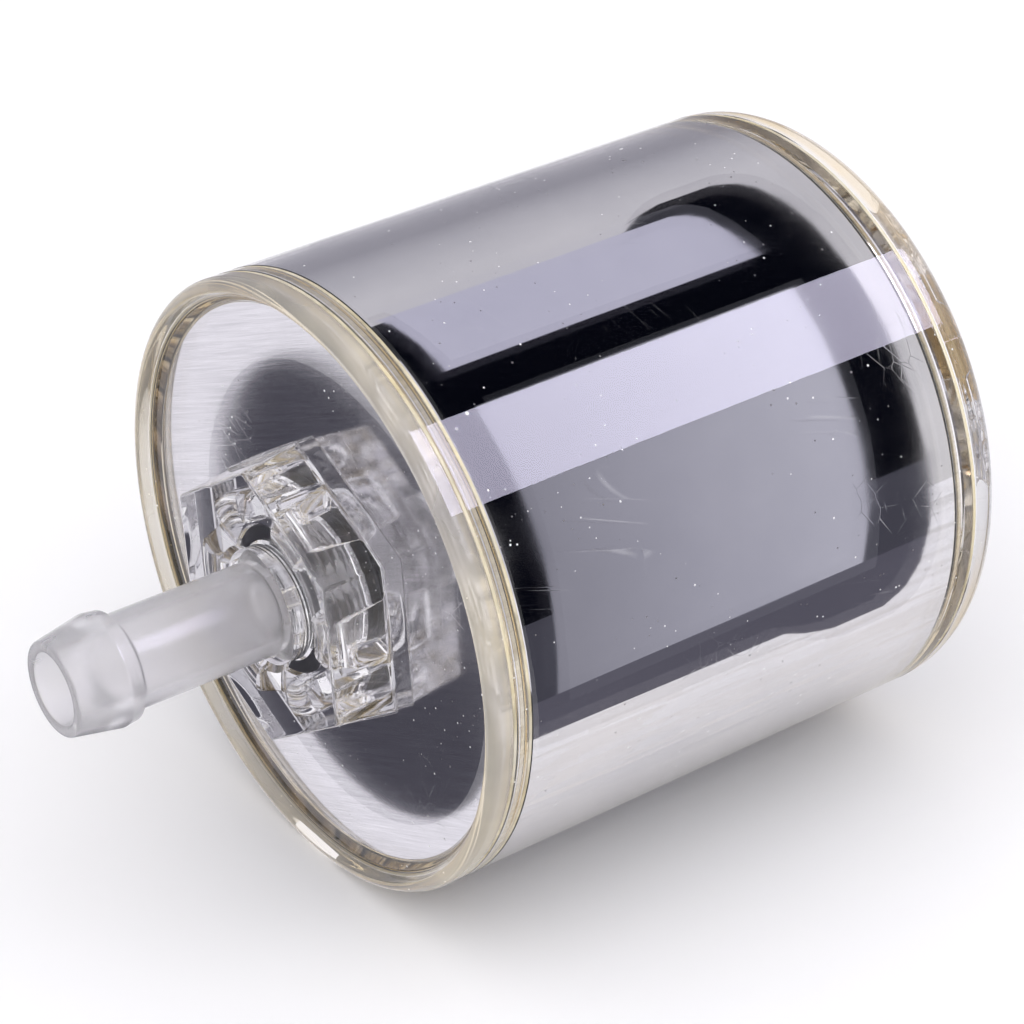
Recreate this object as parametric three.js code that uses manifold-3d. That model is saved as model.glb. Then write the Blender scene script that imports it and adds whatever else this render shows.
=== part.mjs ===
// In-line fuel filter with a clear bonded housing round a polished metal canister.
// Units are millimetres, +Z is up, and the housing's axis lies along +X, from the inlet to the outlet.
// The filter lies on its side. The origin is under the middle of its length, on the surface it lies on.
// Inside the nested group, x = 0 is the front end of BODY_LENGTH and the axis is y = z = 0.

import * as THREE from 'three';
import { mergeVertices } from 'three/addons/utils/BufferGeometryUtils.js';
import Module from 'manifold-3d';

const wasm = await Module();
wasm.setup();

// ---- driving dimensions ----

const BODY_RADIUS = 27.5;          // outside of the clear housing
const BODY_LENGTH = 55.6;          // clear housing without its bosses
const BODY_SIDES = 48;             // facets round the clear housing
const INNER_SIDES = 32;            // facets round the pieces inside the canister
const SMALL_SIDES = 20;            // facets round the small turned pieces
const CLEARANCE = 0.1;             // between pieces that touch on the real filter

// Raised rims: crest is its distance from the end of BODY_LENGTH, round the radius of its outer edge,
// and inner the radius where it rises from the recessed end plate.
const FRONT_RIM = { crest: 0.6, round: 1.0, inner: 25.5 };
const REAR_RIM = { crest: 0, round: 3.1, inner: 23.2 };
const RECESS_DEPTH = 1.65;         // end plates below the ends of BODY_LENGTH
const ROUND_STEPS = 4;             // facets of a rounded rim edge

const FRONT_FLANGE = 2.7;          // front end to first bonded seam
const REAR_FLANGE = 3.6;           // rear cap's flange, bonded straight to the sleeve
const BOND_THICKNESS = 0.3;        // adhesive film in each seam
const RING_LENGTH = 1.2;           // clear spacer ring between the two front seams
const PLUG_RADIUS = 25.1;          // cap's plug, inside the spacer ring or the sleeve
const BORE_RADIUS = 25.3;          // inside of the sleeve and the spacer ring
const CAN_FRONT = 3.75;            // front face of the metal canister
const CAN_REAR = 51.5;             // rear face of the metal canister

const HEX_FRONT_RADIUS = 12.9;     // corner radius of the boss at its outer face
const HEX_BASE_RADIUS = 13.5;      // corner radius at the end plate, with the mould's draft
const HEX_HEIGHT = 5.5;            // boss above the end plate
const HEX_TURN = -6 * Math.PI / 180; // first corner, measured from +Z towards -Y
const HEX_EDGE_INSET = 0.5;        // bevel between the boss's face and its flats
const HEX_EDGE_DEPTH = 0.4;
const HEX_OVERLAP = 0.6;           // how far the boss reaches into the plate it stands on
const POCKET_INNER = 7.2;          // six kidney-shaped pockets behind the boss, one for each flat
const POCKET_OUTER = 10.0;
const POCKET_WEB = 4.0;            // material between two pockets, behind each corner
const POCKET_STEPS = 6;
const BOSS_SKIN = 1.9;             // boss face left over the pockets
const THREAD_HOLE_RADIUS = 5.15;   // tapped hole in the boss
const MOUTH_CHAMFER = 0.5;
const SEAL_SEAT_RADIUS = 6.8;      // seat of the flat seal, at the rear of the tapped hole
const SEAL_SEAT_DEPTH = 1.4;
const CUT_OVERRUN = 1.0;           // how far a cut runs past the face it opens

const BARB_TIP = -23.4;            // x of the barb's end face
const BARB_SHOULDER = -17.3;       // x where the head steps down to the shank
const BARB_HEAD_RADIUS = 4.97;
const BARB_CROWN = -18.8;          // x of the head's largest circle
const BARB_CROWN_LENGTH = 1.2;     // rounded stretch ahead of it
const BARB_CROWN_DROP = 0.15;
const BARB_SHOULDER_LENGTH = 0.4;  // rounded stretch behind it
const BARB_SHOULDER_DROP = 0.2;
const BARB_TIP_RADIUS = 4.2;
const BARB_TIP_ROUND = 0.4;
const BARB_SHANK_RADIUS = 4.15;
const BARB_BORE_RADIUS = 3.2;
const BARB_JET_RADIUS = 2.2;       // narrower passage through the threaded root
const BARB_JET_DEPTH = 0.5;        // its start, below the boss's face
const THREAD_RADIUS = 4.95;
const THREAD_PITCH = 0.94;
const THREAD_DEPTH = 0.45;
const THREAD_START = -2.6;         // x of the first thread, inside the boss
const THREAD_END = 3.3;
const THREAD_RUN_IN = 0.1;         // taper from the shank to the thread
const SEAL_EDGE = 0.3;             // bevelled edges of the flat seals
const SEAL_OUTER = 6.7;

const BUSHING_THREAD = 4.1;        // bore of the outlet bushing
const BUSHING_LEAD = 0.5;          // bevel at the mouth of its bore
const BUSHING_FLANGE = 6.2;
const BUSHING_HEAD = 0.7;          // face of its flange above the boss
const BUSHING_SET_BACK = 0.4;      // its inner end, from the canister

const CAN_RADIUS = 25.2;
const CAN_WALL = 0.6;
const DISC_THICKNESS = 0.8;
const DISC_LIP = 3.0;              // turned-in lip of each end disc
const INLET_HOLE_RADIUS = 5.3;
const OUTLET_NECK_RADIUS = 6.0;
const NECK_WALL = 0.8;
const NECK_REACH = 3.4;            // neck into the element, past its rear cap

const ELEMENT_FRONT = 13.0;        // front of the pleated element's front cap
const ELEMENT_REAR = 49.0;         // rear of its rear cap
const ELEMENT_CAP_RADIUS = 20.6;
const ELEMENT_CAP_SHEET = 0.6;
const ELEMENT_CAP_LIP = 4.0;
const PLASTISOL_DEPTH = 1.8;       // potting that the pleats stand in
const PLEAT_COUNT = 36;
const PLEAT_OUTER = 19.4;
const PLEAT_INNER = 10.2;
const PAPER = 0.5;                 // half the radial thickness at a fold
const CORE_RADIUS = 9.0;           // perforated centre tube
const CORE_WALL = 0.7;
const CORE_HOLE_RADIUS = 1.6;
const CORE_HOLE_ROWS = 4;
const CORE_HOLES_PER_ROW = 4;
const CORE_HOLE_SIDES = 8;
const GROMMET_OUTER = 8.0;         // floor of the grommet's groove
const GROMMET_LIP = 0.8;           // flange outside the cap, beyond the groove
const GROMMET_HEAD = 0.9;
const GROMMET_TAIL = 2.4;          // part inside the cap
const GROMMET_TAIL_GAP = 0.2;      // from the centre tube
const SPRING_RADIUS = 7.0;
const SPRING_WIRE = 0.6;           // wire radius
const SPRING_TURNS = 3;
const SPRING_STEPS = 16;           // straight stretches in each turn
const SPRING_WIRE_SEGMENTS = 3;
const SPRING_GAP = 0.3;            // free space at both ends
const SPRING_SEAT_SHEET = 0.6;
const SPRING_SEAT_RADIUS = 9.2;
const SPRING_SEAT_LIP = 2.0;

// ---- finishes ----

function finish(color, roughness, metalness, opacity = 1) {
  return new THREE.MeshStandardMaterial({
    color, roughness, metalness, opacity, transparent: opacity < 1,
  });
}

const CLEAR = finish(0xe9e8ee, 0.05, 0, 0.35);
const AGED_ADHESIVE = finish(0xb9ab70, 0.35, 0, 0.7);
const POLISHED = finish(0xd2d2da, 0.06, 1);
const BRUSHED = finish(0xaaaab2, 0.3, 1);
const NATURAL_NYLON = finish(0xd8d6e2, 0.35, 0, 0.85);
const BRASS = finish(0xc9a24e, 0.3, 1);
const RUBBER = finish(0x1c1c20, 0.7, 0);
const PAPER_FINISH = finish(0xe3c98e, 0.9, 0);
const PLASTISOL = finish(0xb44a32, 0.6, 0);
const ZINC = finish(0xb9b9ae, 0.4, 1);

// ---- geometry helpers ----

const WELD_DISTANCE = 1e-4;

// A closed outline of [x, radius] points, turned round the X axis.
// Half a facet's turn puts a flat facet straight down.
function turned(outline, sides = BODY_SIDES) {
  const points = outline.map(([x, r]) => new THREE.Vector2(r, x));
  points.push(points[0].clone());
  const geometry = new THREE.LatheGeometry(points, sides, Math.PI / sides);
  geometry.rotateZ(-Math.PI / 2);
  return outward(geometry);
}

function weld(geometry) {
  geometry.deleteAttribute('normal');
  geometry.deleteAttribute('uv');
  return mergeVertices(geometry, WELD_DISTANCE);
}

// The lathe's winding depends on the outline's direction: turn it inside out when its volume is negative.
function outward(geometry) {
  const shape = weld(geometry);
  const index = shape.index.array;
  const position = shape.attributes.position;
  const a = new THREE.Vector3();
  const b = new THREE.Vector3();
  const c = new THREE.Vector3();
  const kept = [];
  let volume = 0;
  for (let i = 0; i < index.length; i += 3) {
    const corners = [index[i], index[i + 1], index[i + 2]];
    if (new Set(corners).size < 3) continue;
    a.fromBufferAttribute(position, corners[0]);
    b.fromBufferAttribute(position, corners[1]);
    c.fromBufferAttribute(position, corners[2]);
    volume += a.dot(b.cross(c));
    kept.push(...corners);
  }
  if (volume < 0) kept.reverse();
  shape.setIndex(kept);
  return shape;
}

function solid(geometry) {
  const position = geometry.attributes.position;
  return new wasm.Manifold(new wasm.Mesh({
    numProp: 3,
    vertProperties: new Float32Array(position.array),
    triVerts: new Uint32Array(geometry.index.array),
  }));
}

function geometryOf(body) {
  const mesh = body.getMesh();
  const geometry = new THREE.BufferGeometry();
  geometry.setAttribute('position', new THREE.BufferAttribute(new Float32Array(mesh.vertProperties), 3));
  geometry.setIndex(Array.from(mesh.triVerts));
  return geometry;
}

// Points of a quarter round from angle a0 to a1 about (x, r), for edges that are rounded.
function arc(x, r, radius, a0, a1, steps) {
  const points = [];
  for (let i = 0; i <= steps; i += 1) {
    const a = a0 + (a1 - a0) * i / steps;
    points.push([x + radius * Math.cos(a), r + radius * Math.sin(a)]);
  }
  return points;
}

const group = new THREE.Group();

function addPiece(name, geometry, material) {
  const mesh = new THREE.Mesh(geometry, material);
  mesh.name = name;
  group.add(mesh);
}

// ---- clear housing ----

const BOSS_FACE = RECESS_DEPTH - HEX_HEIGHT;
const CUT_END = CAN_FRONT + CUT_OVERRUN;

// Recessed plate, raised round rim, flange and plug, as one turned outline.
// canFace is the distance from the end of BODY_LENGTH to the canister.
function capOutline(rim, flange, canFace) {
  return [
    [RECESS_DEPTH, 0],
    [RECESS_DEPTH, rim.inner],
    ...arc(rim.crest + rim.round, BODY_RADIUS - rim.round, rim.round, Math.PI, Math.PI / 2, ROUND_STEPS),
    [flange, BODY_RADIUS],
    [flange, PLUG_RADIUS],
    [canFace - CLEARANCE, PLUG_RADIUS],
    [canFace - CLEARANCE, 0],
  ];
}

// Six-sided boss with draft. It starts inside the plate, so that the two join into one piece.
function hexBoss() {
  const buried = RECESS_DEPTH + HEX_OVERLAP;
  const outline = [
    [BOSS_FACE, 0],
    [BOSS_FACE, HEX_FRONT_RADIUS - HEX_EDGE_INSET],
    [BOSS_FACE + HEX_EDGE_DEPTH, HEX_FRONT_RADIUS],
    [buried, HEX_BASE_RADIUS],
    [buried, 0],
  ];
  const points = outline.map(([x, r]) => new THREE.Vector2(r, x));
  points.push(points[0].clone());
  const geometry = new THREE.LatheGeometry(points, 6, HEX_TURN);
  geometry.rotateZ(-Math.PI / 2);
  return outward(geometry);
}

// Pockets behind the boss, open towards the canister, with rounded floors and a web behind each corner.
function pockets() {
  const round = (POCKET_OUTER - POCKET_INNER) / 2;
  const middle = (POCKET_OUTER + POCKET_INNER) / 2;
  const ring = turned([
    [CUT_END, POCKET_INNER],
    ...arc(BOSS_FACE + BOSS_SKIN + round, middle, round, 1.5 * Math.PI, 0.5 * Math.PI, POCKET_STEPS),
    [CUT_END, POCKET_OUTER],
  ], INNER_SIDES);
  let cut = solid(ring);
  for (let i = 0; i < 3; i += 1) {
    const web = new THREE.BoxGeometry(4 * HEX_HEIGHT, POCKET_WEB, 2 * HEX_BASE_RADIUS);
    web.rotateX(HEX_TURN + i * Math.PI / 3);
    cut = cut.subtract(solid(outward(web)));
  }
  return cut;
}

function tappedHole() {
  return turned([
    [BOSS_FACE - CUT_OVERRUN, 0],
    [BOSS_FACE - CUT_OVERRUN, THREAD_HOLE_RADIUS + MOUTH_CHAMFER + CUT_OVERRUN],
    [BOSS_FACE + MOUTH_CHAMFER, THREAD_HOLE_RADIUS],
    [CUT_END, THREAD_HOLE_RADIUS],
    [CUT_END, 0],
  ], SMALL_SIDES);
}

// The seal's seat is turned into the rear end of the boss's central tube.
function sealSeat(canFace) {
  return turned([
    [canFace - SEAL_SEAT_DEPTH, 0],
    [canFace - SEAL_SEAT_DEPTH, SEAL_SEAT_RADIUS],
    [CUT_END, SEAL_SEAT_RADIUS],
    [CUT_END, 0],
  ], SMALL_SIDES);
}

function clearCap(rim, flange, canFace) {
  const cap = solid(turned(capOutline(rim, flange, canFace)))
    .add(solid(hexBoss()))
    .subtract(pockets())
    .subtract(solid(tappedHole()))
    .subtract(solid(sealSeat(canFace)));
  return geometryOf(cap);
}

function tube(x0, x1, inner, outer, sides = BODY_SIDES) {
  return turned([[x0, inner], [x0, outer], [x1, outer], [x1, inner]], sides);
}

// The rear cap is the front cap's shape, turned end for end about the vertical axis.
function endForEnd(geometry) {
  geometry.rotateZ(Math.PI);
  geometry.translate(BODY_LENGTH, 0, 0);
  return geometry;
}

addPiece('front_cap', clearCap(FRONT_RIM, FRONT_FLANGE, CAN_FRONT), CLEAR);
addPiece('rear_cap', endForEnd(clearCap(REAR_RIM, REAR_FLANGE, BODY_LENGTH - CAN_REAR)), CLEAR);

const FRONT_RING_START = FRONT_FLANGE + BOND_THICKNESS;
const FRONT_RING_END = FRONT_RING_START + RING_LENGTH;
const SLEEVE_START = FRONT_RING_END + BOND_THICKNESS;
const SLEEVE_END = BODY_LENGTH - REAR_FLANGE - BOND_THICKNESS;

addPiece('front_ring', tube(FRONT_RING_START, FRONT_RING_END, BORE_RADIUS, BODY_RADIUS), CLEAR);
addPiece('outer_sleeve', tube(SLEEVE_START, SLEEVE_END, BORE_RADIUS, BODY_RADIUS), CLEAR);

// Adhesive films, one in each seam, clear of both faces by a hair and sunk a little below the outside.
const FILM_GAP = 0.02;
const FILM_SINK = 0.05;

function bond(name, x0) {
  const film = tube(x0 + FILM_GAP, x0 + BOND_THICKNESS - FILM_GAP, BORE_RADIUS, BODY_RADIUS - FILM_SINK);
  addPiece(name, film, AGED_ADHESIVE);
}

bond('front_outer_bond', FRONT_FLANGE);
bond('front_inner_bond', FRONT_RING_END);
bond('rear_bond', SLEEVE_END);

// ---- metal canister ----

const SHELL_START = CAN_FRONT + DISC_THICKNESS + CLEARANCE;
const SHELL_END = CAN_REAR - DISC_THICKNESS - CLEARANCE;
const LIP_OUTER = CAN_RADIUS - CAN_WALL - CLEARANCE;
const LIP_INNER = LIP_OUTER - DISC_THICKNESS;

addPiece('canister_shell', tube(SHELL_START, SHELL_END, CAN_RADIUS - CAN_WALL, CAN_RADIUS), POLISHED);

// Drawn end disc: a flat face as wide as the shell and a lip that plugs into it.
addPiece('front_end_disc', turned([
  [CAN_FRONT, INLET_HOLE_RADIUS],
  [CAN_FRONT, CAN_RADIUS],
  [CAN_FRONT + DISC_THICKNESS, CAN_RADIUS],
  [CAN_FRONT + DISC_THICKNESS, LIP_OUTER],
  [CAN_FRONT + DISC_LIP, LIP_OUTER],
  [CAN_FRONT + DISC_LIP, LIP_INNER],
  [CAN_FRONT + DISC_THICKNESS, LIP_INNER],
  [CAN_FRONT + DISC_THICKNESS, INLET_HOLE_RADIUS],
]), BRUSHED);

// The rear disc also has an inward neck, the seat of the element's grommet.
const NECK_END = ELEMENT_REAR - NECK_REACH;

addPiece('rear_end_disc', turned([
  [CAN_REAR, OUTLET_NECK_RADIUS - NECK_WALL],
  [CAN_REAR, CAN_RADIUS],
  [CAN_REAR - DISC_THICKNESS, CAN_RADIUS],
  [CAN_REAR - DISC_THICKNESS, LIP_OUTER],
  [CAN_REAR - DISC_LIP, LIP_OUTER],
  [CAN_REAR - DISC_LIP, LIP_INNER],
  [CAN_REAR - DISC_THICKNESS, LIP_INNER],
  [CAN_REAR - DISC_THICKNESS, OUTLET_NECK_RADIUS],
  [NECK_END, OUTLET_NECK_RADIUS],
  [NECK_END, OUTLET_NECK_RADIUS - NECK_WALL],
]), BRUSHED);

// ---- inlet ----

// Rings stand for the turns of the thread, which has the same pitch and depth.
function threadProfile(start, end, crest) {
  const points = [];
  const turns = Math.floor((end - start) / THREAD_PITCH);
  for (let i = 0; i < turns; i += 1) {
    const x = start + i * THREAD_PITCH;
    points.push([x + THREAD_PITCH / 2, crest]);
    points.push([x + THREAD_PITCH, crest - THREAD_DEPTH]);
  }
  return points;
}

const JET_START = BOSS_FACE + BARB_JET_DEPTH;

addPiece('inlet_barb', turned([
  [BARB_TIP, BARB_BORE_RADIUS],
  [BARB_TIP, BARB_TIP_RADIUS - BARB_TIP_ROUND],
  [BARB_TIP + BARB_TIP_ROUND, BARB_TIP_RADIUS],
  [BARB_CROWN - BARB_CROWN_LENGTH, BARB_HEAD_RADIUS - BARB_CROWN_DROP],
  [BARB_CROWN, BARB_HEAD_RADIUS],
  [BARB_SHOULDER - BARB_SHOULDER_LENGTH, BARB_HEAD_RADIUS - BARB_SHOULDER_DROP],
  [BARB_SHOULDER, BARB_SHANK_RADIUS],
  [THREAD_START - THREAD_RUN_IN, BARB_SHANK_RADIUS],
  [THREAD_START, THREAD_RADIUS - THREAD_DEPTH],
  ...threadProfile(THREAD_START, THREAD_END, THREAD_RADIUS),
  [THREAD_END, THREAD_RADIUS - THREAD_DEPTH],
  [THREAD_END, BARB_JET_RADIUS],
  [JET_START, BARB_JET_RADIUS],
  [JET_START, BARB_BORE_RADIUS],
], SMALL_SIDES), NATURAL_NYLON);

// Flat round ring with bevelled edges.
function sealRing(x0, x1) {
  return turned([
    [x0 + SEAL_EDGE, INLET_HOLE_RADIUS],
    [x0, INLET_HOLE_RADIUS + SEAL_EDGE],
    [x0, SEAL_OUTER - SEAL_EDGE],
    [x0 + SEAL_EDGE, SEAL_OUTER],
    [x1 - SEAL_EDGE, SEAL_OUTER],
    [x1, SEAL_OUTER - SEAL_EDGE],
    [x1, INLET_HOLE_RADIUS + SEAL_EDGE],
    [x1 - SEAL_EDGE, INLET_HOLE_RADIUS],
  ], SMALL_SIDES);
}

const SEAL_REACH = SEAL_SEAT_DEPTH - CLEARANCE;
addPiece('inlet_seal', sealRing(CAN_FRONT - SEAL_REACH, CAN_FRONT - CLEARANCE), RUBBER);

// ---- outlet ----

const REAR_FACE = BODY_LENGTH - BOSS_FACE;
const BUSHING_END = REAR_FACE + BUSHING_HEAD;
const BUSHING_INNER_END = CAN_REAR + BUSHING_SET_BACK;
const BUSHING_RADIUS = THREAD_HOLE_RADIUS - CLEARANCE;

addPiece('outlet_bushing', turned([
  [BUSHING_END, BUSHING_THREAD + BUSHING_LEAD],
  [BUSHING_END, BUSHING_FLANGE],
  [REAR_FACE + CLEARANCE, BUSHING_FLANGE],
  [REAR_FACE + CLEARANCE, BUSHING_RADIUS],
  [BUSHING_INNER_END, BUSHING_RADIUS],
  [BUSHING_INNER_END, BUSHING_THREAD],
  [BUSHING_END - BUSHING_LEAD, BUSHING_THREAD],
], SMALL_SIDES), BRASS);

addPiece('outlet_seal', sealRing(CAN_REAR + CLEARANCE, CAN_REAR + SEAL_REACH), RUBBER);

// ---- filter element ----

const LIP_FRONT_END = ELEMENT_FRONT + ELEMENT_CAP_LIP;
const LIP_REAR_START = ELEMENT_REAR - ELEMENT_CAP_LIP;
const SHEET = ELEMENT_CAP_SHEET;

addPiece('element_front_cap', turned([
  [ELEMENT_FRONT, 0],
  [ELEMENT_FRONT, ELEMENT_CAP_RADIUS],
  [LIP_FRONT_END, ELEMENT_CAP_RADIUS],
  [LIP_FRONT_END, ELEMENT_CAP_RADIUS - SHEET],
  [ELEMENT_FRONT + SHEET, ELEMENT_CAP_RADIUS - SHEET],
  [ELEMENT_FRONT + SHEET, 0],
], INNER_SIDES), ZINC);

addPiece('element_rear_cap', turned([
  [ELEMENT_REAR, GROMMET_OUTER],
  [ELEMENT_REAR, ELEMENT_CAP_RADIUS],
  [LIP_REAR_START, ELEMENT_CAP_RADIUS],
  [LIP_REAR_START, ELEMENT_CAP_RADIUS - SHEET],
  [ELEMENT_REAR - SHEET, ELEMENT_CAP_RADIUS - SHEET],
  [ELEMENT_REAR - SHEET, GROMMET_OUTER],
], INNER_SIDES), ZINC);

// Grommet: grooved rubber ring in the rear cap's hole, sealing on the rear disc's neck.
const GROMMET_TAIL_RADIUS = CORE_RADIUS - CORE_WALL - GROMMET_TAIL_GAP;
const GROMMET_GROOVE_START = ELEMENT_REAR - SHEET - CLEARANCE;

addPiece('element_grommet', turned([
  [ELEMENT_REAR - GROMMET_TAIL, OUTLET_NECK_RADIUS + CLEARANCE],
  [ELEMENT_REAR - GROMMET_TAIL, GROMMET_TAIL_RADIUS],
  [GROMMET_GROOVE_START, GROMMET_TAIL_RADIUS],
  [GROMMET_GROOVE_START, GROMMET_OUTER - CLEARANCE],
  [ELEMENT_REAR + CLEARANCE, GROMMET_OUTER - CLEARANCE],
  [ELEMENT_REAR + CLEARANCE, GROMMET_OUTER + GROMMET_LIP],
  [ELEMENT_REAR + GROMMET_HEAD, GROMMET_OUTER + GROMMET_LIP],
  [ELEMENT_REAR + GROMMET_HEAD, OUTLET_NECK_RADIUS + CLEARANCE],
], SMALL_SIDES), RUBBER);

const POT_FRONT = ELEMENT_FRONT + SHEET + CLEARANCE;
const POT_REAR = ELEMENT_REAR - SHEET - CLEARANCE;
const POT_OUTER = ELEMENT_CAP_RADIUS - SHEET - CLEARANCE;
const POT_INNER = CORE_RADIUS + CLEARANCE;

function pot(name, x0) {
  const ring = tube(x0, x0 + PLASTISOL_DEPTH, POT_INNER, POT_OUTER, INNER_SIDES);
  addPiece(name, ring, PLASTISOL);
}

pot('front_potting', POT_FRONT);
pot('rear_potting', POT_REAR - PLASTISOL_DEPTH);

// Pleated paper: one closed zigzag sheet, running between the two pots.
function pleatOutline(offset) {
  const path = [];
  for (let i = 0; i < PLEAT_COUNT * 2; i += 1) {
    const a = Math.PI * i / PLEAT_COUNT;
    const r = (i % 2 === 0 ? PLEAT_OUTER : PLEAT_INNER) + offset;
    path.push(new THREE.Vector2(r * Math.cos(a), r * Math.sin(a)));
  }
  return path;
}

function pleatedMedia() {
  const x0 = POT_FRONT + PLASTISOL_DEPTH + CLEARANCE;
  const x1 = POT_REAR - PLASTISOL_DEPTH - CLEARANCE;
  const shape = new THREE.Shape(pleatOutline(PAPER));
  shape.holes.push(new THREE.Path(pleatOutline(-PAPER).reverse()));
  const geometry = new THREE.ExtrudeGeometry(shape, { depth: x1 - x0, bevelEnabled: false });
  geometry.rotateY(Math.PI / 2);
  geometry.translate(x0, 0, 0);
  return outward(geometry);
}

addPiece('filter_media', pleatedMedia(), PAPER_FINISH);

function perforatedTube() {
  let body = solid(tube(POT_FRONT, POT_REAR, CORE_RADIUS - CORE_WALL, CORE_RADIUS, SMALL_SIDES));
  const step = (POT_REAR - POT_FRONT) / (CORE_HOLE_ROWS + 1);
  const drillLength = CORE_WALL * 5;
  for (let row = 1; row <= CORE_HOLE_ROWS; row += 1) {
    for (let i = 0; i < CORE_HOLES_PER_ROW; i += 1) {
      const a = 2 * Math.PI * (i + (row % 2) / 2) / CORE_HOLES_PER_ROW;
      const drill = new THREE.CylinderGeometry(
        CORE_HOLE_RADIUS, CORE_HOLE_RADIUS, drillLength, CORE_HOLE_SIDES,
      );
      drill.rotateX(a);
      drill.translate(POT_FRONT + row * step, CORE_RADIUS * Math.cos(a), CORE_RADIUS * Math.sin(a));
      body = body.subtract(solid(outward(drill)));
    }
  }
  return geometryOf(body);
}

addPiece('centre_tube', perforatedTube(), ZINC);

// ---- spring that holds the element on its seat ----

const SEAT_BACK = ELEMENT_FRONT - CLEARANCE;
const SEAT_FRONT = SEAT_BACK - SPRING_SEAT_SHEET;
const SEAT_LIP_FRONT = SEAT_BACK - SPRING_SEAT_LIP;

addPiece('spring_seat', turned([
  [SEAT_BACK, 0],
  [SEAT_BACK, SPRING_SEAT_RADIUS],
  [SEAT_LIP_FRONT, SPRING_SEAT_RADIUS],
  [SEAT_LIP_FRONT, SPRING_SEAT_RADIUS - SPRING_SEAT_SHEET],
  [SEAT_FRONT, SPRING_SEAT_RADIUS - SPRING_SEAT_SHEET],
  [SEAT_FRONT, 0],
], SMALL_SIDES), ZINC);

class Helix extends THREE.Curve {
  constructor(x0, x1, radius, turns) {
    super();
    this.x0 = x0;
    this.x1 = x1;
    this.radius = radius;
    this.turns = turns;
  }

  getPoint(t, target = new THREE.Vector3()) {
    const a = 2 * Math.PI * this.turns * t;
    return target.set(
      this.x0 + (this.x1 - this.x0) * t,
      this.radius * Math.cos(a),
      this.radius * Math.sin(a),
    );
  }
}

function coilSpring() {
  const x0 = CAN_FRONT + DISC_THICKNESS + SPRING_GAP + SPRING_WIRE;
  const x1 = SEAT_FRONT - SPRING_GAP - SPRING_WIRE;
  const wire = new THREE.Shape();
  wire.absarc(0, 0, SPRING_WIRE, 0, 2 * Math.PI, false);
  const geometry = new THREE.ExtrudeGeometry(wire, {
    steps: SPRING_TURNS * SPRING_STEPS,
    curveSegments: SPRING_WIRE_SEGMENTS,
    extrudePath: new Helix(x0, x1, SPRING_RADIUS, SPRING_TURNS),
    bevelEnabled: false,
  });
  return outward(geometry);
}

addPiece('element_spring', coilSpring(), ZINC);

// ---- placing the assembly ----

const AXIS_HEIGHT = BODY_RADIUS * Math.cos(Math.PI / BODY_SIDES);
const MIDDLE = (BARB_TIP + BUSHING_END) / 2;
group.position.set(-MIDDLE, 0, AXIS_HEIGHT);

const filter = new THREE.Group();
filter.add(group);

export default filter;
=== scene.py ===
# Looks of the in-line fuel filter: clear bonded housing, polished canister, hexagonal boss and nylon barb.
# Everything is in metres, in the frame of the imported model. The housing's axis runs along X at AXIS_HEIGHT.
from math import atan2, ceil, cos, floor, pi, radians, sin, sqrt, tan

import bmesh
import bpy
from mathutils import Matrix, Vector


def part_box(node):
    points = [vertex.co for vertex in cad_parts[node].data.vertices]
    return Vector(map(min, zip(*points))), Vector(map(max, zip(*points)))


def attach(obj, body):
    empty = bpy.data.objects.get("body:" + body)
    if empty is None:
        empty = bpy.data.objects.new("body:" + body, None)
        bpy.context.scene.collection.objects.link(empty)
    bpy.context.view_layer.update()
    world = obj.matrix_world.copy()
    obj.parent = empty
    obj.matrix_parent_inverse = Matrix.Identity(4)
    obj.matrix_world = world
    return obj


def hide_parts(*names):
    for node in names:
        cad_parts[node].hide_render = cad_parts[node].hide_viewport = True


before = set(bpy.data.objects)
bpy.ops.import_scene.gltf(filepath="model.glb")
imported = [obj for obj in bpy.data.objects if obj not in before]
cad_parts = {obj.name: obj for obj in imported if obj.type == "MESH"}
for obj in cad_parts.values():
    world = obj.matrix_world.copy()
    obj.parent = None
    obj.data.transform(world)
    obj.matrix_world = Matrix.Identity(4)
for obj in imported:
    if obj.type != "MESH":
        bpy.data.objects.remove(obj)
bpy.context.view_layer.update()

# ---- sizes: places come from the frame, and the walls and edges are given here ----

MM = 0.001
SLEEVE_LOW, SLEEVE_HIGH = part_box("outer_sleeve")
FRONT_RING_LOW, FRONT_RING_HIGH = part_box("front_ring")
SHELL_LOW, SHELL_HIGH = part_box("canister_shell")
BARB_LOW, BARB_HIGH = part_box("inlet_barb")
BUSHING_LOW, BUSHING_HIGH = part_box("outlet_bushing")

AXIS_Y = (SLEEVE_LOW.y + SLEEVE_HIGH.y) / 2
AXIS_HEIGHT = (SLEEVE_LOW.z + SLEEVE_HIGH.z) / 2
BODY_RADIUS = round((SLEEVE_HIGH.y - SLEEVE_LOW.y) / 2 / MM, 1) * MM
BOND = 0.3 * MM                     # adhesive film in each seam
FRONT_FLANGE = 2.7 * MM             # front end to first seam
REAR_FLANGE = 3.6 * MM              # rear seam to rear end
RIM_X = FRONT_RING_LOW.x - BOND - FRONT_FLANGE
REAR_X = SLEEVE_HIGH.x + BOND + REAR_FLANGE

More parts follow.
